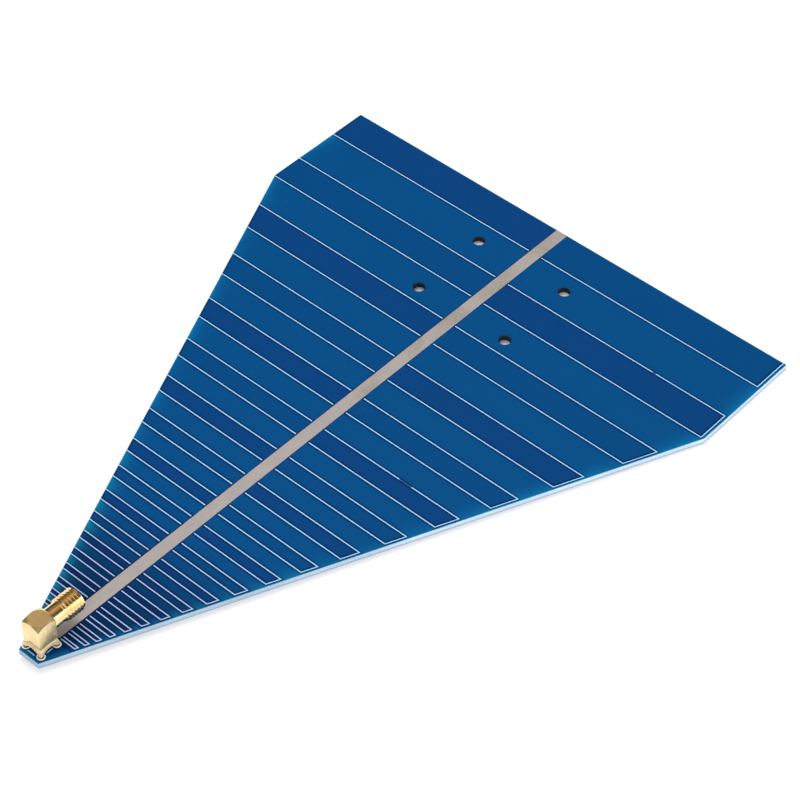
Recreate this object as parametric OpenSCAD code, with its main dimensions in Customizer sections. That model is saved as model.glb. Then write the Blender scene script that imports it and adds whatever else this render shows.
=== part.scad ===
// Log-periodic dipole array antenna etched on a printed circuit board, with a right-angle coaxial jack.
// Millimetres. Origin: centre of the four mounting holes, on the underside of the laminate.
// +Z: component side. +Y: along the boom, towards the wide back edge. -Y: the narrow tip and the beam.

/* [Board] */
// Width of the board across its parallel-sided back part
board_w = 150; // [146:1:156]
// Length of the board from the tip edge to the back edge
board_l = 200; // [198:1:204]
// Length of the parallel-sided back part
straight_l = 36; // [30:1:42]
// Width of the cut-off tip edge
tip_w = 6.6; // [6.4:0.1:8]
// Thickness of the laminate
board_t = 1.6; // [1.2:0.1:2]
// Sideways drift of the routed outline from the drilled holes
outline_drift = 0.35; // [0:0.05:0.35]
// Sideways drift of the etched and printed artwork from the drilled holes
artwork_drift = -0.2; // [-0.3:0.05:0.2]

/* [Mounting holes] */
// Diameter of each mounting hole
hole_d = 3.4; // [3:0.1:4]
// Distance that the solder mask keeps from a mounting hole
mask_relief = 0.2; // [0.18:0.01:0.24]
// Distance between the holes across the boom
hole_pitch_x = 30; // [28:1:32]
// Distance between the holes along the boom
hole_pitch_y = 25; // [24:1:26]
// Distance from the back edge to the nearer pair of holes
hole_setback = 18; // [17:1:19]

/* [Dipole array] */
// Largest number of dipoles, the back strip included
element_count = 20; // [10:1:20]
// Distance beyond the tip edge of the apex on which the array converges
apex_past_tip = 8.5; // [8:0.1:9]
// Distance from the back edge to the middle of the second dipole
second_setback = 31.1; // [30:0.1:33]
// Ratio of each dipole's distance from the apex to the one before it
tau = 0.88; // [0.87:0.005:0.885]
// Width of a dipole with its spacing, as a part of its distance from the apex
dipole_ratio = 0.0587; // [0.055:0.0001:0.062]
// Amount by which each dipole is narrower than that
dipole_trim = 0.7; // [0.5:0.05:0.8]
// Width of the first dipole, which runs along the back edge
back_strip_w = 11.5; // [10:0.25:12]
// Distance of the dipoles' outer ends inside the nominal outline
end_inset = 0.6; // [0.6:0.1:0.8]
// Width of the copper boom on each side of the board
boom_w = 4.3; // [4:0.1:4.5]
// Width of the bare, tinned strip along the boom
boom_bare_w = 3.6; // [3:0.1:3.8]

/* [Layers] */
// Thickness of the copper foil
foil_t = 0.035; // [0.018:0.001:0.07]
// Thickness of the solder mask where it lies on copper
mask_on_foil_t = 0.03; // [0.02:0.005:0.04]
// Thickness of the solder mask where it lies on the laminate
mask_t = 0.05; // [0.045:0.005:0.05]
// Thickness of the tinning on the bare boom
tin_t = 0.025; // [0.01:0.005:0.03]
// Thickness of the printed legend
legend_t = 0.02; // [0.01:0.005:0.03]
// Width of a legend line
legend_w = 0.3; // [0.2:0.05:0.4]
// Distance of the legend lines from the foil that they frame
legend_gap = 0.1; // [0.05:0.01:0.15]
// Distance of the legend lines from the bare strip
legend_stop = 0.45; // [0.4:0.05:0.6]

/* [Connector] */
// Distance from the tip edge to the centre of the connector's block
jack_setback = 4.5; // [4.4:0.05:5]
// Distance between neighbouring legs
leg_pitch = 5.08; // [4.9:0.02:5.1]
// Diameter of the ring around each leg
pad_d = 2.2; // [2:0.05:2.2]
// Thickness of each square leg
leg_w = 1; // [0.8:0.05:1.1]
// Reach of the leg tips below the laminate
leg_drop = 1.4; // [1.2:0.1:2]
// Width of the square block
block_w = 5.6; // [5.5:0.05:5.9]
// Height of the block's top above the board's upper face
block_top = 9.8; // [9.6:0.1:10.4]
// Height of the block's lower end above the board's upper face
block_base = 2.6; // [2.4:0.1:2.8]
// Depth of the turned chamfer at the block's corners
corner_drop = 0.95; // [0.4:0.05:1.2]
// Height of the barrel's axis above the board's upper face
axis_h = 6.6; // [6.5:0.05:6.7]
// Distance from the block's centre to the barrel's mouth
barrel_reach = 12.1; // [11.5:0.1:13]
// Outer diameter of the barrel's thread
thread_d = 6.35; // [6.3:0.05:6.4]
// Length of the threaded part, its chamfer included
thread_l = 5.7; // [5.2:0.1:6]
// Diameter of the barrel's plain neck
neck_d = 5.4; // [5.3:0.05:5.5]
// Diameter of the recess in the barrel's mouth
mouth_d = 4.6; // [4.5:0.05:4.65]
// Depth of the recess in the barrel's mouth
mouth_depth = 1.95; // [1.8:0.05:2.1]
// Outer diameter of the insulator in the barrel
insulator_d = 4.1; // [4:0.05:4.2]
// Diameter of the centre contact
contact_d = 1.27; // [1.2:0.01:1.3]
// Diameter of the socket in the centre contact
socket_d = 0.94; // [0.9:0.01:0.96]

/* [Hidden] */
$fn = 96;

// Places along the board
back_y = hole_setback + hole_pitch_y / 2;
tip_y = back_y - board_l;
kink_y = back_y - straight_l;
apex_y = tip_y - apex_past_tip;
jack_y = tip_y + jack_setback;
taper_slope = (board_w - tip_w) / 2 / (board_l - straight_l);

// Plated holes of the connector's footprint
plating_t = 0.04;
plated_d = 1.6;
pin_pad_d = 1.9;
box_margin = 0.5;
box_tail = 0.9;
leg_spots = [for (sx = [-1, 1], sy = [-1, 1]) [sx * leg_pitch / 2, jack_y + sy * leg_pitch / 2]];
hole_spots = [for (sx = [-1, 1], sy = [-1, 1]) [sx * hole_pitch_x / 2, sy * hole_pitch_y / 2]];
pad_clearance = 0.25;
boom_end_y = jack_y + leg_pitch / 2 + pad_d / 2 + pad_clearance;
neck_w = 1.6;
foil_relief = 0.3;
ink_relief = 0.25;
pad_ink_relief = 0.45;
through = 1;

// Connector heights measured from the underside of the laminate
block_z0 = board_t + block_base;
block_z1 = board_t + block_top;
axis_z = board_t + axis_h;
groove_h = 0.3;
skirt_h = 1.8;
skirt_z0 = block_z0 - groove_h - skirt_h;
skirt_w = leg_pitch + leg_w;
arch_rise = 1.2;
spigot_l = 1;
pin_d = 0.94;
pin_bush_d = 3.2;
pin_bush_l = 2.2;
pin_bush_z = skirt_z0 + arch_rise - 0.8;
bush_gap = 0.2;
pin_flat = 0.35;
mouth_edge = 0.1;
solder_rise = 0.9;
solder_top_r = 0.75;
solder_margin = 0.1;

function half_width(y) = y > kink_y ? board_w / 2 : tip_w / 2 + (y - tip_y) * taper_slope;
function reach(n) = (back_y - second_setback - apex_y) * pow(tau, n - 2);
function dipole_w(n) = reach(n) * dipole_ratio - dipole_trim;
function near_y(n) = n == 1 ? back_y - back_strip_w : apex_y + reach(n) - dipole_w(n) / 2;
function far_y(n) = n == 1 ? back_y : near_y(n) + dipole_w(n);
function on_boom(n) = near_y(n) > boom_end_y;
// Odd dipoles have their left half on the upper foil, even ones their right half
function top_side(n) = n % 2 == 1 ? -1 : 1;

module board_outline(inset = 0) {
    drop = inset * sqrt(1 + taper_slope * taper_slope);
    kink = kink_y - (drop - inset) / taper_slope;
    polygon([
        [-board_w / 2 + inset, back_y], [-board_w / 2 + inset, kink],
        [-half_width(tip_y) + drop, tip_y], [half_width(tip_y) - drop, tip_y],
        [board_w / 2 - inset, kink], [board_w / 2 - inset, back_y]
    ]);
}

module routed_outline() {
    translate([outline_drift, 0]) board_outline();
}

module strip(x0, x1, y0, y1) {
    translate([x0, y0]) square([x1 - x0, y1 - y0]);
}

module at(spots) {
    for (p = spots) translate(p) children();
}

// All half dipoles of one foil, cut to the tapering artwork
module half_dipoles(foil) {
    intersection() {
        board_outline(end_inset);
        for (n = [1:element_count]) if (on_boom(n)) {
            side = foil * top_side(n);
            strip(side > 0 ? 0 : -board_w, side > 0 ? board_w : 0, near_y(n), far_y(n));
        }
    }
}

module foil_artwork(foil) {
    translate([artwork_drift, 0]) {
        half_dipoles(foil);
        strip(-boom_w / 2, boom_w / 2, boom_end_y, back_y);
    }
}

// The upper boom narrows to a neck that feeds the centre pin
module top_artwork() {
    difference() {
        union() {
            foil_artwork(1);
            strip(-neck_w / 2, neck_w / 2, jack_y, boom_end_y + neck_w);
        }
        at(hole_spots) circle(d = hole_d + 2 * foil_relief);
        translate([0, jack_y]) circle(d = pin_pad_d);
    }
}

// The lower boom spreads out to the four legs and keeps clear of the centre pin
module bottom_artwork() {
    difference() {
        union() {
            foil_artwork(-1);
            strip(-leg_pitch / 2, leg_pitch / 2, jack_y - leg_pitch / 2, boom_end_y);
        }
        at(hole_spots) circle(d = hole_d + 2 * foil_relief);
        at(leg_spots) circle(d = pad_d);
        translate([0, jack_y]) circle(d = pin_pad_d + 2 * pad_clearance);
    }
}

module bare_strip() {
    border = (boom_w - boom_bare_w) / 2;
    translate([artwork_drift, 0])
        strip(-boom_bare_w / 2, boom_bare_w / 2, boom_end_y + border, back_y);
}

module masked_openings() {
    at(hole_spots) circle(d = hole_d + 2 * mask_relief);
    at(leg_spots) circle(d = pad_d);
    translate([0, jack_y]) circle(d = pin_pad_d);
    bare_strip();
}

module laminate() {
    color([0.80, 0.88, 0.80]) difference() {
        linear_extrude(board_t) routed_outline();
        translate([0, 0, -through]) linear_extrude(board_t + 2 * through) {
            at(hole_spots) circle(d = hole_d);
            at(leg_spots) circle(d = plated_d);
            translate([0, jack_y]) circle(d = plated_d);
        }
    }
}

module top_copper() {
    color([0.72, 0.45, 0.28]) translate([0, 0, board_t]) linear_extrude(foil_t) top_artwork();
}

module bottom_copper() {
    color([0.72, 0.45, 0.28]) translate([0, 0, -foil_t]) linear_extrude(foil_t) bottom_artwork();
}

// The mask lies on the laminate between the dipoles and steps up over the foil
module mask_sheet() {
    linear_extrude(mask_t) difference() {
        routed_outline();
        children(0);
        masked_openings();
    }
    translate([0, 0, foil_t]) linear_extrude(mask_on_foil_t) difference() {
        children(0);
        masked_openings();
    }
}

module top_mask() {
    color([0.06, 0.27, 0.50]) translate([0, 0, board_t]) mask_sheet() top_artwork();
}

module bottom_mask() {
    color([0.06, 0.27, 0.50]) mirror([0, 0, 1]) mask_sheet() bottom_artwork();
}

// One pair of lines across the board frames each dipole; a slanted line closes each outer end
module dipole_frame(n) {
    line_in = legend_gap + legend_w;
    difference() {
        intersection() {
            board_outline(end_inset - line_in);
            strip(-board_w, board_w, near_y(n) - line_in, min(far_y(n) + line_in, back_y));
        }
        intersection() {
            board_outline(end_inset - legend_gap);
            strip(-board_w, board_w, near_y(n) - legend_gap, far_y(n) + (n == 1 ? through : legend_gap));
        }
    }
}

module footprint_box() {
    half = leg_pitch / 2 + box_margin;
    low = jack_y - leg_pitch / 2 - box_tail;
    high = jack_y + leg_pitch / 2;
    difference() {
        strip(-half, half, low, high);
        strip(-half + legend_w, half - legend_w, low + legend_w, high + through);
    }
}

module top_legend() {
    bare_side = boom_bare_w / 2 + legend_stop;
    color([0.92, 0.95, 1.0]) translate([0, 0, board_t + mask_t]) linear_extrude(legend_t) difference() {
        intersection() {
            routed_outline();
            translate([artwork_drift, 0]) {
                difference() {
                    for (n = [1:element_count]) if (on_boom(n)) dipole_frame(n);
                    strip(-bare_side, bare_side, tip_y, back_y + through);
                }
                footprint_box();
            }
        }
        at(hole_spots) circle(d = hole_d + 2 * ink_relief);
        at(leg_spots) circle(d = pad_d + 2 * pad_ink_relief);
    }
}

module tinning() {
    linear_extrude(tin_t) bare_strip();
}

module top_boom_tinning() {
    color([0.71, 0.68, 0.64]) translate([0, 0, board_t + foil_t]) tinning();
}

module bottom_boom_tinning() {
    color([0.71, 0.68, 0.64]) translate([0, 0, -foil_t - tin_t]) tinning();
}

// A plated hole with a ring on each face of the board
module eyelet(outer_d) {
    ring_t = foil_t + mask_on_foil_t;
    difference() {
        union() {
            translate([0, 0, board_t]) cylinder(d = outer_d, h = ring_t);
            translate([0, 0, -ring_t]) cylinder(d = outer_d, h = ring_t);
            cylinder(d = plated_d, h = board_t);
        }
        translate([0, 0, -through]) cylinder(d = plated_d - 2 * plating_t, h = board_t + 2 * through);
    }
}

module leg_pads() {
    color([0.93, 0.86, 0.70]) at(leg_spots) eyelet(pad_d);
}

module centre_pad() {
    color([0.80, 0.78, 0.74]) translate([0, jack_y, 0]) eyelet(pin_pad_d);
}

// Square block whose upper corners are turned away by a cone
module jack_block() {
    flat_margin = 0.2;
    r_flat = block_w / 2 - flat_margin;
    r_corner = block_w / sqrt(2);
    r_out = r_corner + through;
    drop_out = corner_drop * (r_out - r_flat) / (r_corner - r_flat);
    intersection() {
        translate([-block_w / 2, -block_w / 2, block_z0]) cube([block_w, block_w, block_z1 - block_z0]);
        rotate_extrude() polygon([
            [0, block_z0 - through], [r_out, block_z0 - through], [r_out, block_z1 - drop_out],
            [r_flat, block_z1], [0, block_z1]
        ]);
    }
}

// Skirt under the block, arched between its legs
module jack_skirt() {
    half_span = skirt_w / 2 - leg_w;
    arch_r = (half_span * half_span + arch_rise * arch_rise) / (2 * arch_rise);
    arch_z = skirt_z0 + arch_rise - arch_r;
    difference() {
        translate([-skirt_w / 2, -skirt_w / 2, skirt_z0]) cube([skirt_w, skirt_w, skirt_h]);
        translate([-skirt_w, 0, arch_z]) rotate([0, 90, 0]) cylinder(r = arch_r, h = 2 * skirt_w);
        translate([0, skirt_w, arch_z]) rotate([90, 0, 0]) cylinder(r = arch_r, h = 2 * skirt_w);
    }
}

module leg() {
    tip = 0.25;
    translate([-leg_w / 2, -leg_w / 2, -leg_drop + tip]) cube([leg_w, leg_w, skirt_z0 + leg_drop - tip]);
    translate([-leg_w / 2 + tip / 2, -leg_w / 2 + tip / 2, -leg_drop])
        cube([leg_w - tip, leg_w - tip, tip]);
}

module connector_body() {
    groove_depth = 0.25;
    groove_w = block_w - 2 * groove_depth;
    color([0.86, 0.70, 0.46]) translate([0, jack_y, 0]) difference() {
        union() {
            jack_block();
            translate([-groove_w / 2, -groove_w / 2, block_z0 - groove_h]) cube([groove_w, groove_w, groove_h]);
            jack_skirt();
            for (sx = [-1, 1], sy = [-1, 1]) translate([sx, sy, 0] * leg_pitch / 2) leg();
        }
        translate([0, 0, skirt_z0 - through])
            cylinder(d = pin_bush_d, h = axis_z + contact_d - skirt_z0 + through);
        translate([0, 0, axis_z]) rotate([-90, 0, 0]) cylinder(d = insulator_d, h = block_w);
        translate([0, block_w / 2 - spigot_l, axis_z]) rotate([-90, 0, 0]) cylinder(d = neck_d, h = block_w);
    }
}

// Lays a turned profile, given as radius and distance from the block's centre, along the barrel's axis
module turned(profile) {
    translate([0, jack_y, axis_z]) rotate([-90, 0, 0]) rotate_extrude() polygon(profile);
}

module connector_barrel() {
    chamfer = 0.4;
    undercut = 0.15;
    start = block_w / 2 - spigot_l;
    thread_y = barrel_reach - thread_l;
    color([0.86, 0.70, 0.46]) turned([
        [insulator_d / 2, start], [neck_d / 2, start],
        [neck_d / 2, thread_y], [thread_d / 2 - undercut, thread_y], [thread_d / 2, thread_y + undercut],
        [thread_d / 2, barrel_reach - chamfer], [thread_d / 2 - chamfer, barrel_reach],
        [mouth_d / 2 + mouth_edge, barrel_reach], [mouth_d / 2, barrel_reach - mouth_edge],
        [mouth_d / 2, barrel_reach - mouth_depth], [insulator_d / 2, barrel_reach - mouth_depth]
    ]);
}

module barrel_insulator() {
    start = pin_bush_d / 2 + bush_gap;
    color([0.95, 0.95, 0.92]) turned([
        [contact_d / 2, start], [insulator_d / 2, start],
        [insulator_d / 2, barrel_reach - mouth_depth], [contact_d / 2, barrel_reach - mouth_depth]
    ]);
}

module centre_contact() {
    socket_l = 2.6;
    slot_w = 0.18;
    nose = 0.1;
    tip = barrel_reach - mouth_depth;
    color([0.88, 0.72, 0.42]) difference() {
        turned([
            [0, pin_flat], [contact_d / 2, pin_flat], [contact_d / 2, tip - nose], [contact_d / 2 - nose, tip],
            [socket_d / 2, tip], [socket_d / 2, tip - socket_l], [0, tip - socket_l]
        ]);
        for (a = [0, 90]) translate([0, jack_y + tip - socket_l, axis_z]) rotate([0, a, 0])
            translate([-contact_d, 0, -slot_w / 2]) cube([2 * contact_d, socket_l + through, slot_w]);
    }
}

module pin_insulator() {
    color([0.95, 0.95, 0.92]) translate([0, jack_y, pin_bush_z]) difference() {
        cylinder(d = pin_bush_d, h = pin_bush_l);
        translate([0, 0, -through]) cylinder(d = pin_d, h = pin_bush_l + 2 * through);
    }
}

module centre_pin() {
    flat_z = axis_z - contact_d / 2;
    color([0.88, 0.72, 0.42]) translate([0, jack_y, 0]) difference() {
        translate([0, 0, -leg_drop]) cylinder(d = pin_d, h = leg_drop + flat_z + contact_d);
        translate([-pin_d, pin_flat, flat_z]) cube([2 * pin_d, pin_d, contact_d + through]);
    }
}

// Solder that fills a plated hole and climbs the leg or pin on the underside
module solder(foot_d) {
    bottom = -foil_t - mask_on_foil_t;
    rotate_extrude() polygon([
        [0, bottom - solder_rise], [solder_top_r, bottom - solder_rise], [foot_d / 2, bottom],
        [plated_d / 2 - plating_t, bottom], [plated_d / 2 - plating_t, board_t + foil_t], [0, board_t + foil_t]
    ]);
}

module leg_joints() {
    color([0.75, 0.75, 0.74]) at(leg_spots) difference() {
        solder(pad_d - 2 * solder_margin);
        translate([-leg_w / 2, -leg_w / 2, -leg_drop - through])
            cube([leg_w, leg_w, leg_drop + board_t + 2 * through]);
    }
}

module pin_joint() {
    color([0.75, 0.75, 0.74]) translate([0, jack_y, 0]) difference() {
        solder(pin_pad_d - 2 * solder_margin);
        translate([0, 0, -leg_drop - through]) cylinder(d = pin_d, h = leg_drop + board_t + 2 * through);
    }
}

laminate();
top_copper();
bottom_copper();
top_mask();
bottom_mask();
top_legend();
top_boom_tinning();
bottom_boom_tinning();
leg_pads();
centre_pad();
connector_body();
connector_barrel();
barrel_insulator();
centre_contact();
pin_insulator();
centre_pin();
leg_joints();
pin_joint();
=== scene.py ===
import math

import bmesh
import bpy
from mathutils import Matrix, Quaternion, Vector


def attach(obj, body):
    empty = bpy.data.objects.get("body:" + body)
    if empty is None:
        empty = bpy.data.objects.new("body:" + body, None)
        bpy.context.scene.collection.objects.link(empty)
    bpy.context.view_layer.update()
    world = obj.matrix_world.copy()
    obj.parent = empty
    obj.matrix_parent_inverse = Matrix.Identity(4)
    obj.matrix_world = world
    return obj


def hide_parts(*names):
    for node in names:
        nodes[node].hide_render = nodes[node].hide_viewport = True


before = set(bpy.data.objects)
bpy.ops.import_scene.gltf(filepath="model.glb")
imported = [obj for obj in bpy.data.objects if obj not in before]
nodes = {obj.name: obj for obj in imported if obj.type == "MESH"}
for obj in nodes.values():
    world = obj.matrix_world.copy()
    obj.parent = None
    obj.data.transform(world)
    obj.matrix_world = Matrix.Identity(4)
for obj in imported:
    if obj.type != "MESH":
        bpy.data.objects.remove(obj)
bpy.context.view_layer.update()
mm = 0.001
print("frame loaded:", len(nodes), "nodes")

board = {  # the outline, in millimetres, as in the part's source
    "backY": 30.5, "kinkY": -5.5, "tipY": -169.5, "half": 75.0, "tipHalf": 3.3, "outlineX": 0.35, "artX": -0.2,
}
board["slope"] = (board["half"] - board["tipHalf"]) / (board["kinkY"] - board["tipY"])
board["lean"] = 1 / math.hypot(1, board["slope"])
array = {  # the dipoles' law
    "apexY": -178.0, "second": 177.4, "tau": 0.88, "ratio": 0.0587, "trim": 0.7, "stripY": 19.0,
    "inset": 0.6, "boomHalf": 2.15, "boomEnd": -161.11, "patchHalf": 2.54, "patchEnd": -167.54,
    "legendOff": 0.25, "otherFace": 50.0,
}
jack = {"y": -165.0, "axisZ": 8.2, "pitch": 2.54, "block": 5.6, "blockLow": 4.2, "blockHigh": 11.4}


def tone(text):  # "#rrggbb" as a linear colour
    parts = [int(text[i:i + 2], 16) / 255 for i in (1, 3, 5)]
    return tuple(c / 12.92 if c <= 0.04045 else ((c + 0.055) / 1.055) ** 2.4 for c in parts) + (1.0,)


class Wire:  # one socket, so that sums over a surface read as plain arithmetic
    def __init__(self, desk, node, output=0):
        self.desk, self.node, self.socket = desk, node, node.outputs[output]

    def other(self, output):
        return Wire(self.desk, self.node, output)

    def __add__(self, other):
        return self.desk.sum("ADD", self, other)

    def __sub__(self, other):
        return self.desk.sum("SUBTRACT", self, other)

    def __mul__(self, other):
        return self.desk.sum("MULTIPLY", self, other)

    def __truediv__(self, other):
        return self.desk.sum("DIVIDE", self, other)

    def __rsub__(self, other):
        return self.desk.sum("SUBTRACT", other, self)

    def __lt__(self, other):
        return self.desk.sum("LESS_THAN", self, other)

    def __gt__(self, other):
        return self.desk.sum("GREATER_THAN", self, other)

    def __abs__(self):
        return self.desk.sum("ABSOLUTE", self)

    __radd__, __rmul__ = __add__, __mul__


class Desk:  # a node tree being filled
    def __init__(self, tree):
        self.tree = tree
        tree.nodes.clear()

    def add(self, kind, settings=None, inputs=None, output=0):
        node = self.tree.nodes.new(kind)
        for name, value in (settings or {}).items():
            if name == "stops":
                self.setRamp(node.color_ramp.elements, value)
            else:
                setattr(node, name, value)
        for name, value in (inputs or {}).items():
            if isinstance(value, Wire):
                self.tree.links.new(value.socket, node.inputs[name])
            else:
                node.inputs[name].default_value = value
        return Wire(self, node, output)

    def setRamp(self, ramp, stops):
        while len(ramp) < len(stops):
            ramp.new(0.5)
        for stop, (place, colour) in zip(ramp, stops):
            stop.position, stop.color = place, colour

    def end(self, kind, wire):
        self.tree.links.new(wire.socket, self.tree.nodes.new(kind).inputs[0])

    def sum(self, operation, *parts):
        return self.add("ShaderNodeMath", {"operation": operation}, dict(enumerate(parts)))

    def least(self, *parts):
        low = parts[0]
        for part in parts[1:]:
            low = self.sum("MINIMUM", low, part)
        return low

    def most(self, *parts):
        high = parts[0]
        for part in parts[1:]:
            high = self.sum("MAXIMUM", high, part)
        return high

    def fade(self, value, low, high):  # 0 at low, 1 at high
        flip = low > high
        ends = {0: value, 1: min(low, high), 2: max(low, high), 3: float(flip), 4: float(not flip)}
        return self.add("ShaderNodeMapRange", {"interpolation_type": "SMOOTHSTEP"}, ends)

    def blend(self, amount, low, high, way="MIX"):
        return self.add("ShaderNodeMix", {"data_type": "RGBA", "blend_type": way, "clamp_factor": True},
                        {0: amount, 6: low, 7: high}, 2)

    def tinted(self, colour, factor):
        return self.blend(1.0, colour, factor, "MULTIPLY")

    def dot(self, way, direction):
        return self.add("ShaderNodeVectorMath", {"operation": "DOT_PRODUCT"}, {0: way, 1: direction}, "Value")


class Finish(Desk):
    def __init__(self, name, fixed=None):
        self.material = bpy.data.materials.new(name)
        self.material.use_nodes = True
        super().__init__(self.material.node_tree)
        shader = self.add("ShaderNodeBsdfPrincipled", None, fixed)
        self.shader = shader.node
        self.end("ShaderNodeOutputMaterial", shader)
        self.point = self.add("ShaderNodeVectorMath", {"operation": "SCALE"},
                              {0: self.add("ShaderNodeTexCoord", output="Object"), "Scale": 1 / mm})
        split = self.add("ShaderNodeSeparateXYZ", None, {0: self.point})
        self.x, self.y, self.z = split, split.other(1), split.other(2)

    def noise(self, scale, detail=3.0, rough=0.55, stretch=(1, 1, 1), shift=(0, 0, 0)):
        where = self.add("ShaderNodeMapping", None, {0: self.point, "Location": shift, "Scale": stretch})
        return self.add("ShaderNodeTexNoise", None,
                        {"Vector": where, "Scale": scale, "Detail": detail, "Roughness": rough})

    def cells(self, scale):
        return self.add("ShaderNodeTexVoronoi", None, {"Vector": self.point, "Scale": scale})

    def wave(self, phase):
        return self.sum("SINE", phase)

    def relief(self, height, depth):
        bump = self.add("ShaderNodeBump", None, {"Strength": 1.0, "Distance": depth, "Height": height})
        self.tree.links.new(bump.socket, self.shader.inputs["Normal"])

    def feed(self, colour, rough):
        self.tree.links.new(colour.socket, self.shader.inputs["Base Color"])
        self.tree.links.new(rough.socket, self.shader.inputs["Roughness"])
        return self.material


def taperDistance(f, x):  # from a slanted side, inwards
    across = (f.y - board["tipY"]) * board["slope"] + board["tipHalf"] - abs(x)
    return across * board["lean"]


def dipoleDistance(f):  # below 0 within a dipole's outline, both halves; then 1 on odd dipoles
    x = f.x - board["artX"]
    reach = f.y - array["apexY"]
    step = f.sum("ROUND", f.sum("LOGARITHM", reach / array["second"], array["tau"]))
    middle = f.sum("POWER", array["tau"], step) * array["second"]
    off = abs(reach - middle) - (middle * (array["ratio"] / 2) - array["trim"] / 2)
    strip = step < -0.5  # the widest one ends at the board's back edge
    off = strip * (array["stripY"] - f.y) + (1 - strip) * off
    ends = array["inset"] - f.least(board["half"] - abs(x), taperDistance(f, x))
    return f.most(off, ends, array["boomEnd"] - f.y), f.sum("MODULO", abs(step), 2.0)


def foilDistance(f, upper):  # below 0 over copper, above 0 beside it
    x = f.x - board["artX"]
    dipole, odd = dipoleDistance(f)
    apart = abs(odd - (x < 0))
    dipole = dipole + (apart if upper else 1 - apart) * array["otherFace"]
    boom = f.most(abs(x) - array["boomHalf"], array["boomEnd"] - f.y)
    if not upper:
        patch = f.most(abs(x) - array["patchHalf"], f.y - array["boomEnd"], array["patchEnd"] - f.y)
        boom = f.least(boom, patch)
    return f.least(dipole, boom)


def rimDistance(f):  # from the nearest edge of the board, inwards
    x = f.x - board["outlineX"]
    return f.least(board["half"] - abs(x), taperDistance(f, x), board["backY"] - f.y, f.y - board["tipY"])


maskLook = {
    "gap": "#044b83", "under": "#04477f", "foil": "#07407b", "outlineBand": "#021f4c", "deep": "#041c42",
    "glow": "#0878b0", "teal": "#0a88a4", "rim": "#6fb2d4", "dust": "#3c6c9c",
    "fixed": {"Specular IOR Level": 0.04, "IOR": 1.5}, "rough": 0.24, "roughGrain": 0.16, "roughFoil": -0.03,
    "cloud": (0.045, 3, 0.5), "grain": (3.2, 4, 0.65), "grainShift": (5, 2, 0), "speckSize": 0.23,
    "underStep": (0.12, -0.12), "foilStep": (0.05, -0.05), "shoulderStep": (0.16, -0.02),
    "outlineBandReach": (0.95, 0.4), "outlineBandShare": 0.75,
    "tipShadeAlong": (-112, -152), "tipShadeIn": (0.6, 2.4), "tipShadeShare": 0.8,
    "clearOfFoil": (0.05, 1.1), "glowCloud": (0.2, 0.75), "glowFall": -0.62, "glowShare": 0.95,
    "tealAlong": (-85, -135), "dullAlong": (-90, -135), "dullShare": 0.7,
    "rimWide": (0.24, 0.08), "rimRagged": 0.12, "rimShare": 0.8,
    "cloudLow": (0.93, 0.93, 0.94, 1), "cloudHigh": (1.08, 1.07, 1.05, 1),
    "grainTint": (1.5, 1.22, 1.16, 1), "grainRange": (0.35, 0.75), "grainShare": 0.35,
    "speckRange": (0.075, 0.03), "speckWhere": (0.5, 0.6), "speckShare": 0.5,
    "weave": (12.6, 14.2), "weaveHigh": 0.03, "shoulderHigh": 0.6, "grainHigh": 0.12, "bump": 0.00002,
}


def maskFinish(name, upper):
    look = maskLook
    f = Finish(name, look["fixed"])
    near, far = foilDistance(f, upper), foilDistance(f, not upper)
    outline, rim = dipoleDistance(f)[0], rimDistance(f)
    cloud, grain = f.noise(*look["cloud"]), f.noise(*look["grain"], shift=look["grainShift"])
    foil = f.fade(near, *look["foilStep"])
    colour = f.blend(f.fade(far, *look["underStep"]), tone(look["gap"]), tone(look["under"]))
    colour = f.blend(foil, colour, tone(look["foil"]))
    outlineBand = f.fade(abs(outline - array["legendOff"]), *look["outlineBandReach"])  # darker in a band either side of each legend line, beside each outline
    colour = f.blend(outlineBand * look["outlineBandShare"], colour, tone(look["outlineBand"]))
    deep = f.fade(f.y, *look["tipShadeAlong"]) * f.fade(rim, *look["tipShadeIn"])  # painted shade: darker towards the tip, away from the board's edge
    colour = f.blend(deep * look["tipShadeShare"], colour, tone(look["deep"]))
    clear = f.fade(f.least(near, far), *look["clearOfFoil"])  # light enters at the edge where no foil is near
    # painted light: a glow along the board's edge, teal towards the tip and weaker there on the right side
    dull = 1 - (f.x > 0) * f.fade(f.y, *look["dullAlong"]) * look["dullShare"]
    glow = f.sum("EXPONENT", rim * look["glowFall"]) * clear * f.fade(cloud, *look["glowCloud"]) * dull
    edge = f.blend(f.fade(f.y, *look["tealAlong"]), tone(look["glow"]), tone(look["teal"]))
    colour = f.blend(glow * look["glowShare"], colour, edge)
    bare = f.fade(rim + grain * look["rimRagged"], *look["rimWide"])  # the mask ends just short of the edge
    colour = f.blend(bare * look["rimShare"], colour, tone(look["rim"]))
    colour = f.blend((cloud - 0.5) * 0.5 + 0.5, f.tinted(colour, look["cloudLow"]), f.tinted(colour, look["cloudHigh"]))
    fleck = f.fade(grain, *look["grainRange"]) * look["grainShare"]
    colour = f.blend(fleck, colour, f.tinted(colour, look["grainTint"]))
    specks = f.fade(f.cells(look["speckSize"]), *look["speckRange"]) * f.fade(grain, *look["speckWhere"])
    colour = f.blend(specks * look["speckShare"], colour, tone(look["dust"]))
    weave = f.wave(f.x * look["weave"][0]) * f.wave(f.y * look["weave"][1])
    shoulder = f.fade(near, *look["shoulderStep"])
    f.relief(shoulder * look["shoulderHigh"] + weave * look["weaveHigh"] + grain * look["grainHigh"], look["bump"])
    return f.feed(colour, grain * look["roughGrain"] + foil * look["roughFoil"] + look["rough"])


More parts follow.
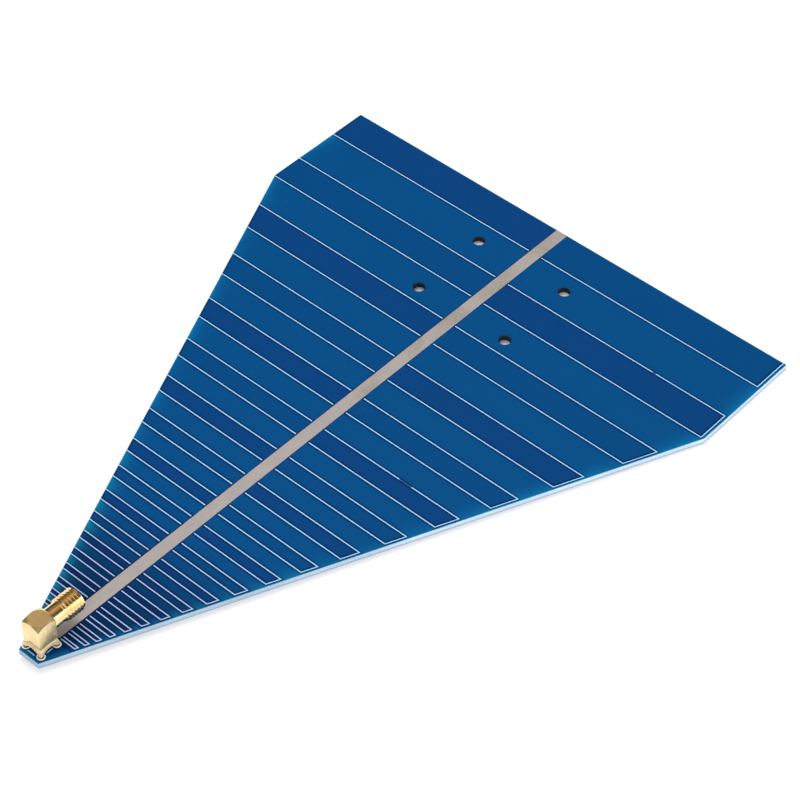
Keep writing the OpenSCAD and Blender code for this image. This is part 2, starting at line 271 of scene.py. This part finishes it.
inkLook = {
    "ink": "#aadbff", "thin": "#96c6fc", "tip": "#afbfe9", "bare": "#0d4a88",
    "fixed": {"Specular IOR Level": 0.08}, "rough": 0.5, "roughVary": 0.2, "bump": 0.000006,
    "fine": (4.5, 4, 0.7), "patch": (0.5, 3, 0.6), "thinRange": (0.5, 0.7), "thinShare": 0.55,
    "tipAlong": (-100, -142), "tipShare": 0.85, "raggedBy": 0.09, "raggedRange": (0.125, 0.18), "raggedShare": 0.8,
    "wornBy": 0.5, "wornRange": (1.0, 0.8), "wornShare": 0.92,
    "worn": [(29.3, -68.9, 2.3, 0.9), (51.6, 4.8, 0.6, 0.5)],  # x, y, half length, half width
}


def inkFinish():
    look = inkLook
    f = Finish("legendInk", look["fixed"])
    fine, patch = f.noise(*look["fine"]), f.noise(*look["patch"])
    spots = []
    for x, y, wide, deep in look["worn"]:
        gap = f.most(abs(f.x - x) / wide, abs(f.y - y) / deep) + (fine - 0.5) * look["wornBy"]
        spots.append(f.fade(gap, *look["wornRange"]))
    thin = f.fade(fine * 0.6 + patch * 0.4, *look["thinRange"]) * look["thinShare"]
    colour = f.blend(thin, tone(look["ink"]), tone(look["thin"]))
    # painted shade: the ink turns duller and bluer towards the tip
    colour = f.blend(f.fade(f.y, *look["tipAlong"]) * look["tipShare"], colour, tone(look["tip"]))
    off = abs(dipoleDistance(f)[0] - array["legendOff"]) + (fine - 0.5) * look["raggedBy"]
    ragged = f.fade(off, *look["raggedRange"]) * (f.y > array["boomEnd"] - 0.2)  # not on the jack's box
    gone = f.most(f.most(*spots) * look["wornShare"], ragged * look["raggedShare"])
    colour = f.blend(gone, colour, tone(look["bare"]))
    f.relief(fine, look["bump"])
    return f.feed(colour, fine * look["roughVary"] + look["rough"])


edgeLook = {
    "pale": "#d2edfa", "cool": "#b7d3e6", "lower": "#a3aabd", "tip": "#8298aa", "fibre": "#eef8fb",
    "holeRim": "#06335f", "holeWall": "#0d1015", "fixed": {"Specular IOR Level": 0.35, "IOR": 1.5},
    "layers": 34, "layerNoise": (0.8, 2, 0.5), "strands": (2.4, 4, 0.6), "strandsTall": (1, 1, 3.5),
    "far": (0.06, 2, 0.5), "farRange": (0.3, 0.7), "fibreRange": (0.35, 0.7), "fibreShare": 0.6,
    "lowerUp": (0.9, 0.15), "lowerShare": 0.8, "tipAlong": (-30, -150), "tipShare": 0.6,
    "insideFrom": 0.6, "holeUp": (1.35, 1.6), "milled": (1.6, 3, 0.7), "milledTall": (6, 6, 0.5),
    "rough": 0.4, "roughVary": 0.3, "bump": 0.00004,
}


def laminateFinish():
    look = edgeLook
    f = Finish("glassLaminate", look["fixed"])
    layers = f.wave(f.z * look["layers"] + f.noise(*look["layerNoise"]) * 3) * 0.5 + 0.5
    strands = f.noise(*look["strands"], stretch=look["strandsTall"])
    far = f.fade(f.noise(*look["far"]), *look["farRange"])
    colour = f.blend(far, tone(look["pale"]), tone(look["cool"]))
    fibre = layers * f.fade(strands, *look["fibreRange"]) * look["fibreShare"]
    colour = f.blend(fibre, colour, tone(look["fibre"]))
    # painted shade: the lower part of the board's side is greyer
    low = f.fade(f.z + (strands - 0.5) * 0.3, *look["lowerUp"]) * look["lowerShare"]
    colour = f.blend(low, colour, tone(look["lower"]))
    # painted shade: the board's side darkens towards the tip
    colour = f.blend(f.fade(f.y, *look["tipAlong"]) * look["tipShare"], colour, tone(look["tip"]))
    # painted shade: the walls of the holes inside the board are near black, bluer at their top
    paintedHoleShade = f.blend(f.fade(f.z, *look["holeUp"]), tone(look["holeWall"]), tone(look["holeRim"]))
    colour = f.blend(rimDistance(f) > look["insideFrom"], colour, paintedHoleShade)
    f.relief(f.noise(*look["milled"], stretch=look["milledTall"]) + layers * 0.3, look["bump"])
    return f.feed(colour, strands * look["roughVary"] + look["rough"])


foilLook = {"bright": "#d98a5f", "dark": "#9a5336", "oxide": (0.7, 4, 0.6), "rolled": (2.0, 3, 0.6),
            "rolledLong": (0.2, 4, 1), "range": (0.35, 0.7), "rough": 0.3, "roughVary": 0.25, "bump": 0.00001}


def foilFinish():
    look = foilLook
    f = Finish("copperFoil", {"Metallic": 1.0})
    oxide, rolled = f.noise(*look["oxide"]), f.noise(*look["rolled"], stretch=look["rolledLong"])
    colour = f.blend(f.fade(oxide, *look["range"]), tone(look["bright"]), tone(look["dark"]))
    f.relief(rolled, look["bump"])
    return f.feed(colour, rolled * look["roughVary"] + look["rough"])


tinLook = {
    "plain": "#c9c4c0", "warm": "#b9b3aa", "olive": "#a19d8b", "cool": "#c3bdc0",
    "fixed": {"Metallic": 0.45, "Specular IOR Level": 0.3}, "rough": 0.36, "roughFine": 0.22, "roughBroad": 0.1,
    "broad": (0.16, 4, 0.6), "fine": (2.6, 5, 0.7), "grains": 3.1, "old": (0.09, 3, 0.5), "oldShift": (3, 9, 0),
    "oldFrom": 60, "oldRise": 0.0012, "oldRange": (0.52, 0.72), "share": 0.6, "bump": 0.000022,
}


def tinFinish():
    look = tinLook
    f = Finish("tinnedStrip", look["fixed"])
    broad, fine = f.noise(*look["broad"]), f.noise(*look["fine"])
    colour = f.blend(f.fade(broad, 0.35, 0.65), tone(look["plain"]), tone(look["cool"]))
    colour = f.blend(f.fade(fine, 0.4, 0.7) * look["share"], colour, tone(look["warm"]))
    older = f.noise(*look["old"], shift=look["oldShift"]) + (f.y + look["oldFrom"]) * look["oldRise"]
    dulled = f.fade(older, *look["oldRange"]) * f.fade(fine, 0.3, 0.6)  # duller towards the back
    colour = f.blend(dulled * look["share"], colour, tone(look["olive"]))
    f.relief(fine * 0.7 + f.cells(look["grains"]) * 0.5, look["bump"])
    return f.feed(colour, fine * look["roughFine"] + broad * look["roughBroad"] + look["rough"])


padLook = {"fine": (4.0, 4, 0.6), "broad": (0.8, 2, 0.5), "range": (0.4, 0.65), "rough": 0.22, "roughVary": 0.2,
           "bump": 0.00002}


def padFinish(name, light, shade):
    look = padLook
    f = Finish(name, {"Metallic": 0.05})
    fine, broad = f.noise(*look["fine"]), f.noise(*look["broad"])
    colour = f.blend(f.fade(fine * 0.5 + broad * 0.5, *look["range"]), tone(light), tone(shade))
    f.relief(fine, look["bump"])
    return f.feed(colour, fine * look["roughVary"] + look["rough"])


goldLook = {
    "bright": "#ffe7b0", "deep": "#f8d494", "stain": "#dda864", "shade": "#6e4c22",
    "cloud": (0.35, 3, 0.6), "fine": (5.0, 4, 0.7), "cloudRange": (0.3, 0.75), "stainRange": (0.52, 0.75),
    "stainShare": 0.45, "shadeUp": (8.2, 6.4), "shadeBy": 0.4, "shadeShare": 0.75,
    "roughMarks": 0.16, "roughFine": 0.08, "bump": 0.00001,
}
goldKinds = {  # how each is cut: its tool marks, their stretch, metal and roughness
    "block": {"marks": (3.0, 3, 0.7), "along": (5, 5, 0.25), "metal": 0.82, "rough": 0.12},
    "barrel": {"marks": (3.0, 3, 0.7), "along": (0.15, 9, 0.15), "metal": 1.0, "rough": 0.02},
    "contact": {"marks": (7.0, 3, 0.6), "along": (1, 1, 1), "metal": 1.0, "rough": 0.02},
}


def goldFinish(name, kind):
    look, cut = goldLook, goldKinds[kind]
    f = Finish(name, {"Metallic": cut["metal"]})
    cloud, fine = f.noise(*look["cloud"]), f.noise(*look["fine"])
    marks = f.noise(*cut["marks"], stretch=cut["along"])
    worked = marks * 0.6 + fine * 0.4
    colour = f.blend(f.fade(cloud, *look["cloudRange"]), tone(look["bright"]), tone(look["deep"]))
    colour = f.blend(f.fade(worked, *look["stainRange"]) * look["stainShare"], colour, tone(look["stain"]))
    if kind == "barrel":  # painted shade: darker on its underside, which faces the board
        low = f.fade(f.z + cloud * look["shadeBy"], *look["shadeUp"]) * look["shadeShare"]
        colour = f.blend(low, colour, tone(look["shade"]))
    f.relief(worked, look["bump"])
    return f.feed(colour, marks * look["roughMarks"] + fine * look["roughFine"] + cut["rough"])


castLooks = {
    # the foot's gold is paler and less metallic than the block's: painted light, as if lit by the bright floor
    "paintedLightGoldFoot": {"light": "#fff5d6", "dark": "#fbe2ae", "metal": 0.55, "cast": (1.8, 4, 0.6), "fine": (6.0, 3, 0.7),
                 "rough": 0.28},
    "goldLegs": {"light": "#d9a257", "dark": "#a06c2c", "metal": 0.9, "cast": (2.2, 4, 0.6), "fine": (7.0, 3, 0.7),
                 "rough": 0.25},
}


def castFinish(name):
    look = castLooks[name]
    f = Finish(name, {"Metallic": look["metal"]})
    cast, fine = f.noise(*look["cast"]), f.noise(*look["fine"])
    colour = f.blend(f.fade(cast, 0.3, 0.7), tone(look["light"]), tone(look["dark"]))
    f.relief(cast * 0.6 + fine * 0.4, 0.00002)
    return f.feed(colour, cast * 0.2 + fine * 0.1 + look["rough"])


plasticLook = {
    "fixed": {"Subsurface Weight": 0.25, "Subsurface Scale": 0.0006, "Specular IOR Level": 0.3},
    "turned": (3.0, 3, 0.7), "turnedAlong": (1, 8, 1), "cloud": (1.2, 3, 0.6), "range": (0.4, 0.7),
    "rough": 0.38, "roughVary": 0.2, "bump": 0.00002,
}


def plasticFinish(name, light, shade):
    look = plasticLook
    f = Finish(name, look["fixed"])
    turned, cloud = f.noise(*look["turned"], stretch=look["turnedAlong"]), f.noise(*look["cloud"])
    colour = f.blend(f.fade(turned * 0.5 + cloud * 0.5, *look["range"]), tone(light), tone(shade))
    f.relief(turned, look["bump"])
    return f.feed(colour, cloud * look["roughVary"] + look["rough"])


solderLook = {"bright": "#fdf8ee", "dull": "#d9d0c0", "flow": (1.4, 3, 0.5), "fine": (6.0, 4, 0.7),
              "range": (0.35, 0.7), "rough": 0.12, "roughFlow": 0.2, "roughFine": 0.12, "bump": 0.00003}


def solderFinish():
    look = solderLook
    f = Finish("solderTin", {"Metallic": 0.4})
    flow, fine = f.noise(*look["flow"]), f.noise(*look["fine"])
    colour = f.blend(f.fade(flow, *look["range"]), tone(look["bright"]), tone(look["dull"]))
    f.relief(flow * 0.7 + fine * 0.3, look["bump"])
    return f.feed(colour, flow * look["roughFlow"] + fine * look["roughFine"] + look["rough"])


finishes = {
    "laminate": laminateFinish(),
    "top_copper": foilFinish(),
    "top_mask": maskFinish("maskAbove", True),
    "bottom_mask": maskFinish("maskBelow", False),
    "top_legend": inkFinish(),
    "top_boom_tinning": tinFinish(),
    "leg_pads": padFinish("platedRings", "#fffffb", "#f3f0e6"),
    "centre_pad": padFinish("platedCentreRing", "#fbf7ee", "#e6dccb"),
    "connector_body": goldFinish("goldBlock", "block"),
    "connector_barrel": goldFinish("goldBarrel", "barrel"),
    "barrel_insulator": plasticFinish("whiteFluoroplastic", "#f4f3ee", "#dedcd2"),
    # painted shade: the pin's insulator under the jack is dark brown rather than white
    "pin_insulator": plasticFinish("paintedShadeFluoroplastic", "#574c3a", "#332b20"),
    "centre_contact": goldFinish("goldContact", "contact"),
    "leg_joints": solderFinish(),
}
paintedLightGoldFoot, goldLegs = castFinish("paintedLightGoldFoot"), castFinish("goldLegs")
finishes["bottom_copper"] = finishes["top_copper"]
finishes["bottom_boom_tinning"] = finishes["top_boom_tinning"]
finishes["centre_pin"] = finishes["centre_contact"]
finishes["pin_joint"] = finishes["leg_joints"]
for name, material in finishes.items():
    slots = nodes[name].data.materials
    slots.clear()
    slots.append(material)
print("surfaces made:", len(finishes))


def finishPiece(bm, name, node, smoothBelow, material=None):
    bmesh.ops.remove_doubles(bm, verts=bm.verts, dist=1e-4)
    bmesh.ops.recalc_face_normals(bm, faces=bm.faces)
    bmesh.ops.scale(bm, vec=(mm, mm, mm), verts=bm.verts)
    piece = plainObject(bm, name)
    mesh = piece.data
    mesh.polygons.foreach_set("use_smooth", [True] * len(mesh.polygons))
    mesh.set_sharp_from_angle(angle=math.radians(smoothBelow))
    mesh.materials.append(material or finishes[node])
    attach(piece, "root")
    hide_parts(node)


def plainObject(bm, name):
    mesh = bpy.data.meshes.new(name)
    bm.to_mesh(mesh)
    bm.free()
    thing = bpy.data.objects.new(name, mesh)
    bpy.context.scene.collection.objects.link(thing)
    return thing


def everything(bm):
    return bm.verts[:] + bm.edges[:] + bm.faces[:]


def shifted(bm, x, y, z=0.0):
    bmesh.ops.translate(bm, verts=bm.verts, vec=(x, y, z))
    return bm


barrel = {
    "pitch": 0.95, "crest": 3.175, "depth": 0.42, "ridge": (0.16, 0.48, 0.66), "start": 6.4, "mouth": 12.1,
    "chamfer": 0.4, "lift": 0.03, "runIn": 0.9, "neck": 2.7, "neckLip": 0.06, "root": 1.8, "bore": 2.05,
    "recess": 2.3, "recessDepth": 1.95, "edge": 0.1, "steps": 72, "smooth": 34,
}


def threadHelix():
    b, p = barrel, barrel["pitch"]
    low, (rise, crestFrom, crestTo) = b["crest"] - b["depth"], b["ridge"]
    bm = bmesh.new()
    first = b["start"] - 1.5 * p
    ridge = [(low, 0), (low, rise), (b["crest"], crestFrom), (b["crest"], crestTo), (low, 1)]
    verts = [bm.verts.new((r, first + t * p, 0)) for r, t in ridge]
    edges = [bm.edges.new(pair) for pair in zip(verts, verts[1:])]
    turns = math.ceil((b["mouth"] - b["start"]) / p + 3)
    bmesh.ops.spin(bm, geom=verts + edges, axis=(0, 1, 0), cent=(0, 0, 0), dvec=(0, p / b["steps"], 0),
                   angle=2 * math.pi * turns, steps=b["steps"] * turns)
    bmesh.ops.remove_doubles(bm, verts=bm.verts, dist=1e-3)
    return bm


def squareAndChamfer(bm):
    b = barrel
    low = b["crest"] - b["depth"]
    for y, side in ((b["start"], -1), (b["mouth"], 1)):
        bmesh.ops.bisect_plane(bm, geom=everything(bm), dist=1e-5, plane_co=(0, y, 0), plane_no=(0, side, 0),
                               clear_outer=True)
    for v in bm.verts:
        atMouth = b["crest"] - b["chamfer"] + b["mouth"] - v.co.y
        limit = min(atMouth, low + b["lift"] + (v.co.y - b["start"]) * b["runIn"])
        radius = math.hypot(v.co.x, v.co.z)
        if radius > limit:
            v.co.x, v.co.z = v.co.x * limit / radius, v.co.z * limit / radius


def ringOn(bm, edges, radius, y):  # carries a loop to a new radius and place along the barrel's axis
    made = bmesh.ops.extrude_edge_only(bm, edges=edges)["geom"]
    for v in (g for g in made if isinstance(g, bmesh.types.BMVert)):
        scale = radius / math.hypot(v.co.x, v.co.z)
        v.co = Vector((v.co.x * scale, y, v.co.z * scale))
    return [g for g in made if isinstance(g, bmesh.types.BMEdge)]


def makeBarrel():
    b = barrel
    bm = threadHelix()
    squareAndChamfer(bm)
    ends = [e for e in bm.edges if e.is_boundary]
    back = [e for e in ends if e.verts[0].co.y < b["start"] + 0.01]
    front = [e for e in ends if e.verts[0].co.y > b["mouth"] - 0.01]
    for radius, y in ((b["neck"] + b["neckLip"], b["start"]), (b["neck"], b["start"] - b["neckLip"]),
                      (b["neck"], b["root"]), (b["bore"], b["root"])):
        back = ringOn(bm, back, radius, y)
    inner = b["mouth"] - b["recessDepth"]
    for radius, y in ((b["recess"] + b["edge"], b["mouth"]), (b["recess"], b["mouth"] - b["edge"]),
                      (b["recess"], inner), (b["bore"], inner)):
        front = ringOn(bm, front, radius, y)
    bmesh.ops.bridge_loops(bm, edges=back + front)
    finishPiece(shifted(bm, 0, jack["y"], jack["axisZ"]), "threadedBarrel", "connector_barrel",
                b["smooth"])


def turnedBlank(profile, steps=96):  # a closed solid turned about the upright axis
    bm = bmesh.new()
    verts = [bm.verts.new((r, 0, z)) for r, z in profile]
    edges = [bm.edges.new(pair) for pair in zip(verts, verts[1:])]
    bmesh.ops.spin(bm, geom=verts + edges, axis=(0, 0, 1), cent=(0, 0, 0), angle=2 * math.pi, steps=steps,
                   use_merge=True)
    bmesh.ops.remove_doubles(bm, verts=bm.verts, dist=1e-4)
    bmesh.ops.recalc_face_normals(bm, faces=bm.faces)
    return bm


def boxBlank(wide, low, high):
    bm = bmesh.new()
    bmesh.ops.create_cube(bm, size=1)
    bmesh.ops.scale(bm, vec=(wide, wide, high - low), verts=bm.verts)
    return shifted(bm, 0, 0, (low + high) / 2)


upright, along, across = Matrix.Identity(3), Matrix.Rotation(math.pi / 2, 3, "X"), Matrix.Rotation(math.pi / 2, 3, "Y")


def rodBlank(radius, length, turn, place, sides=96):
    bm = bmesh.new()
    bmesh.ops.create_cone(bm, cap_ends=True, segments=sides, radius1=radius, radius2=radius, depth=length)
    bmesh.ops.transform(bm, verts=bm.verts, matrix=Matrix.Translation(place) @ turn.to_4x4())
    return bm


def carve(blank, cuts, edge=0.0):  # cuts: pairs of a cutter and how it cuts
    thing, cutters = plainObject(blank, "blank"), []
    for cutter, way in cuts:
        cutters.append(plainObject(cutter, "cutter"))
        step = thing.modifiers.new("cut", "BOOLEAN")
        step.operation, step.solver, step.object = way, "EXACT", cutters[-1]
    if edge:
        soft = thing.modifiers.new("edge", "BEVEL")
        soft.width, soft.segments, soft.limit_method = edge, 3, "ANGLE"
        soft.angle_limit, soft.harden_normals = math.radians(33), False
    shaped = bpy.data.meshes.new_from_object(thing.evaluated_get(bpy.context.evaluated_depsgraph_get()))
    bm = bmesh.new()
    bm.from_mesh(shaped)
    for spare in [thing] + cutters:
        mesh = spare.data
        bpy.data.objects.remove(spare)
        bpy.data.meshes.remove(mesh)
    bpy.data.meshes.remove(shaped)
    return bm


def joined(parts):
    whole = bmesh.new()
    for part in parts:
        mesh = bpy.data.meshes.new("part")
        part.to_mesh(mesh)
        part.free()
        whole.from_mesh(mesh)
        bpy.data.meshes.remove(mesh)
    return whole


body = {"flat": 2.6, "drop": 0.95, "bush": 1.6, "bushTop": 9.47, "bushLong": 9.5, "edge": 0.26, "smooth": 30}


def bushCut():  # the bore for the pin's insulator
    middle = body["bushTop"] - body["bushLong"] / 2
    return rodBlank(body["bush"], body["bushLong"], upright, (0, 0, middle)), "DIFFERENCE"


def makeBlock():
    j, b = jack, body
    corner = j["block"] / math.sqrt(2)
    out, low = corner + 1, 2
    drop = b["drop"] * (out - b["flat"]) / (corner - b["flat"])
    cone = turnedBlank([(0, low), (out, low), (out, j["blockHigh"] - drop), (b["flat"], j["blockHigh"]),
                        (0, j["blockHigh"])])
    block = carve(boxBlank(j["block"], j["blockLow"], j["blockHigh"]),
                  [(cone, "INTERSECT"), bushCut(),
                   (rodBlank(barrel["bore"], 6, along, (0, 3, j["axisZ"])), "DIFFERENCE"),
                   (rodBlank(barrel["neck"], 4, along, (0, barrel["root"] + 2, j["axisZ"])), "DIFFERENCE")], b["edge"])
    finishPiece(shifted(block, 0, j["y"]), "jackBlock", "connector_body", b["smooth"])


foot = {
    "groove": 5.4, "low": 1.95, "high": 3.95, "wide": 6.08, "archRise": 1.3, "archInset": 0.7, "crownDrop": 1.15,
    "overlap": 0.3, "edge": 0.117,
}


def vault(span, rise, top):  # two crossed round cutters
    radius = (span ** 2 + rise ** 2) / (2 * rise)
    return [rodBlank(radius, 9, turn, (0, 0, top - radius), 192) for turn in (along, across)]


def archCuts():
    t = foot
    rods = vault(t["wide"] / 2 - leg["wide"] * t["archInset"], t["archRise"], t["low"] + t["archRise"])
    return [(rod, "DIFFERENCE") for rod in rods]


def makeFoot():
    t = foot
    neck = carve(boxBlank(t["groove"], t["high"] - t["crownDrop"] - t["overlap"], jack["blockLow"]),
                 archCuts() + [bushCut()])
    crownRods = vault(t["wide"] / 2, t["crownDrop"], t["high"])
    crown = carve(crownRods[0], [(crownRods[1], "UNION")])
    skirt = carve(boxBlank(t["wide"], t["low"], t["high"]),
                  [(crown, "INTERSECT")] + archCuts() + [bushCut()], t["edge"])
    finishPiece(shifted(joined([neck, skirt]), 0, jack["y"]), "jackFoot", "connector_body",
                body["smooth"], paintedLightGoldFoot)


leg = {"wide": 1.0, "tip": -1.4, "top": 2.05, "point": 0.78, "pointLong": 0.3, "edge": 0.06}


def makeLegs():
    g, legs = leg, []
    shoulder = g["tip"] + g["pointLong"]
    for sx in (-1, 1):
        for sy in (-1, 1):
            one = boxBlank(g["wide"], g["tip"], g["top"])
            bmesh.ops.scale(one, vec=(g["point"], g["point"], 1), verts=[v for v in one.verts if v.co.z < 0])
            bmesh.ops.bisect_plane(one, geom=everything(one), dist=1e-5, plane_co=(0, 0, shoulder),
                                   plane_no=(0, 0, 1))
            for v in one.verts:
                if abs(v.co.z - shoulder) < 1e-3:
                    v.co.x, v.co.y = math.copysign(g["wide"] / 2, v.co.x), math.copysign(g["wide"] / 2, v.co.y)
            bmesh.ops.bevel(one, geom=one.edges[:], offset=g["edge"], affect="EDGES", segments=2, profile=0.5,
                            material=-1)
            legs.append(shifted(one, sx * jack["pitch"], sy * jack["pitch"]))
    finishPiece(shifted(joined(legs), 0, jack["y"]), "jackLegs", "connector_body", body["smooth"],
                goldLegs)


fillet = {
    "low": -0.965, "foot": -0.065, "top": 1.25, "hole": 0.755, "inner": 0.46, "dip": 0.1, "meniscus": 0.06,
    "lip": 0.02, "hollow": 2.4, "rings": 8, "steps": 48, "legs": (1.0, 0.6), "pin": (0.85, 0.5), "smooth": 50,
}


def makeFillet(footRadius, neckRadius):
    f = fillet
    dipped = f["top"] - f["dip"]
    profile = [(f["inner"], dipped), (f["hole"] - f["dip"], f["top"] - f["meniscus"]), (f["hole"], f["top"]),
               (f["hole"], f["foot"])]
    for i in range(f["rings"] + 1):  # a hollow curve that climbs the leg
        t = i / f["rings"]
        radius = neckRadius + (footRadius - neckRadius) * (1 - t) ** f["hollow"]
        profile.append((radius, f["foot"] + (f["low"] - f["foot"]) * t))
    profile += [(f["inner"], f["low"] + f["lip"]), (f["inner"], dipped)]
    return turnedBlank(profile, f["steps"])


def makeSolder():
    legs = []
    for sx in (-1, 1):
        for sy in (-1, 1):
            legs.append(shifted(makeFillet(*fillet["legs"]), sx * jack["pitch"], jack["y"] + sy * jack["pitch"]))
    pin = shifted(makeFillet(*fillet["pin"]), 0, jack["y"])
    finishPiece(joined(legs), "legSolder", "leg_joints", fillet["smooth"])
    finishPiece(pin, "pinSolder", "pin_joint", fillet["smooth"])


makeBarrel()
print("barrel threaded")
makeBlock()
makeFoot()
makeLegs()
print("jack body shaped")
makeSolder()
print("joints soldered")

stand = {
    "frontY": -167.5, "frontZ": -1.4, "backY": 30.5, "backZ": -0.066, "below": 0.012, "size": 4000.0,
    "paper": (0.86, 0.875, 0.93, 1), "glow": 1.2,
    "wideFade": (-0.3, 2.8), "wideShare": 0.24, "closeFade": (-2.2, -0.4), "closeShare": 0.46,
}


def floorPaper():
    s = stand
    material = bpy.data.materials.new("palePaper")
    material.use_nodes = True
    d = Desk(material.node_tree)
    ray = d.add("ShaderNodeLightPath")
    seen = d.most(ray, ray.other("Is Glossy Ray"), ray.other("Is Transmission Ray"))
    place = d.add("ShaderNodeSeparateXYZ", None, {0: d.add("ShaderNodeTexCoord", output="Object")})
    x, y = abs(place - board["outlineX"] * mm) * (1 / mm), place.other(1) * (1 / mm)
    slant = ((y - board["tipY"]) * board["slope"] + board["tipHalf"] - x) * board["lean"]
    outside = d.least(board["half"] - x, slant, board["backY"] - y, y - board["tipY"]) * -1
    lit = d.add("ShaderNodeBsdfDiffuse", None, {"Color": s["paper"]})
    shown = d.add("ShaderNodeEmission", None, {"Color": (1, 1, 1, 1), "Strength": s["glow"]})
    # partly painted shadow: the floor's glow fades near and under the board's outline, where its real shade then shows
    share = d.fade(outside, *s["wideFade"]) * s["wideShare"] + d.fade(outside, *s["closeFade"]) * s["closeShare"]
    paper = d.add("ShaderNodeMixShader", None, {0: seen * share, 1: lit, 2: shown})
    below = d.add("ShaderNodeNewGeometry", output="Backfacing") * ray  # clear when looked at from below
    paper = d.add("ShaderNodeMixShader", None, {0: below, 1: paper, 2: d.add("ShaderNodeBsdfTransparent")})
    d.end("ShaderNodeOutputMaterial", paper)
    return material


def makeFloor():
    s = stand
    tilt = math.atan2(s["backZ"] - s["frontZ"], s["backY"] - s["frontY"])  # rests on the leg tips and the back
    bm = bmesh.new()
    bmesh.ops.create_grid(bm, x_segments=2, y_segments=2, size=s["size"] / 2)
    bmesh.ops.transform(bm, verts=bm.verts, matrix=Matrix.Translation((0, s["backY"], s["backZ"] - s["below"]))
                        @ Matrix.Rotation(tilt, 4, "X"))
    bmesh.ops.scale(bm, vec=(mm, mm, mm), verts=bm.verts)
    floor = plainObject(bm, "paleFloor")
    floor.data.materials.append(floorPaper())


room = {
    "towards": (0.86, -0.34, 0.0), "bright": 2.1, "brightSide": (-0.1, 0.45), "brightUnder": (0.64, 0.5),
    "brightFrom": (0.12, 0.4), "brightVary": 0.45, "dim": 0.75, "dimBelow": (0.5, 0.28),
    "tint": (1.0, 0.73, 0.45, 1), "tintUp": (0.1, 0.6), "tintSide": (0.5, 0.1),
    "bands": [(0.06, 0.1), (0.17, 0.27), (0.285, 0.3), (0.32, 1.1), (0.355, 0.42), (0.45, 0.46), (0.57, 0.12),
              (1.0, 0.1)],  # the ceiling's level from left to right
}


def makeRoom():
    r = room
    world = bpy.data.worlds.new("studio")
    bpy.context.scene.world = world
    world.use_nodes = True
    d = Desk(world.node_tree)
    way = d.add("ShaderNodeTexCoord", output="Generated")
    side = d.dot(way, r["towards"])
    height = d.add("ShaderNodeSeparateXYZ", None, {0: way}, "Z")
    stops = [(place, (level, level, level, 1)) for place, level in r["bands"]]
    ceiling = d.add("ShaderNodeValToRGB", {"stops": stops}, {0: side * 0.5 + 0.5})
    upward = d.fade(height, *r["brightFrom"]) * r["brightVary"] + (1 - r["brightVary"])
    level = d.fade(side, *r["brightSide"]) * d.fade(height, *r["brightUnder"]) * upward * r["bright"]
    level = level + (1 - d.fade(height, *r["dimBelow"]) * r["dim"]) * ceiling
    ray = d.add("ShaderNodeLightPath")
    warm = ray.other("Is Glossy Ray") * d.fade(height, *r["tintUp"]) * d.fade(side, *r["tintSide"])
    glow = d.add("ShaderNodeBackground", None,
                 {"Color": d.blend(warm, (1, 1, 1, 1), r["tint"]), "Strength": d.most(level, ray)})
    d.end("ShaderNodeOutputWorld", glow)


lamps = {
    "overhead": {"place": (-0.25, 0.15, 0.9), "power": 4.6, "size": 0.7},
    "front": {"place": (0.35, -0.75, 0.7), "power": 2.8, "size": 0.6},
}
lampAim = Vector((0, -0.07, 0))


def makeLamp(name, place, power, size):
    lamp = bpy.data.lights.new(name, "AREA")
    lamp.energy, lamp.size = power, size
    thing = bpy.data.objects.new(name, lamp)
    thing.location = place
    thing.rotation_euler = (lampAim - thing.location).to_track_quat("-Z", "Y").to_euler()
    thing.visible_glossy = False
    bpy.context.scene.collection.objects.link(thing)


shot = {
    "place": (0.310119, -0.406947, 0.485065), "azimuth": 39.9562, "elevation": 45.8904, "roll": 1.8909,
    "lens": 117.656, "sensor": 36.0, "clip": (0.02, 20.0),
}


def makeCamera():
    s = shot
    data = bpy.data.cameras.new("camera")
    data.lens, data.sensor_width = s["lens"], s["sensor"]
    data.clip_start, data.clip_end = s["clip"]
    camera = bpy.data.objects.new("camera", data)
    a, e = math.radians(s["azimuth"]), math.radians(s["elevation"])
    aim = Vector((-math.sin(a) * math.cos(e), math.cos(a) * math.cos(e), -math.sin(e)))
    camera.location = s["place"]
    camera.rotation_mode = "QUATERNION"
    camera.rotation_quaternion = aim.to_track_quat("-Z", "Y") @ Quaternion((0, 0, 1), math.radians(s["roll"]))
    bpy.context.scene.collection.objects.link(camera)
    bpy.context.scene.camera = camera


makeFloor()
makeRoom()
for name, lamp in lamps.items():
    makeLamp(name, **lamp)
makeCamera()
bpy.context.scene.view_settings.view_transform = "Standard"
print("stage set")
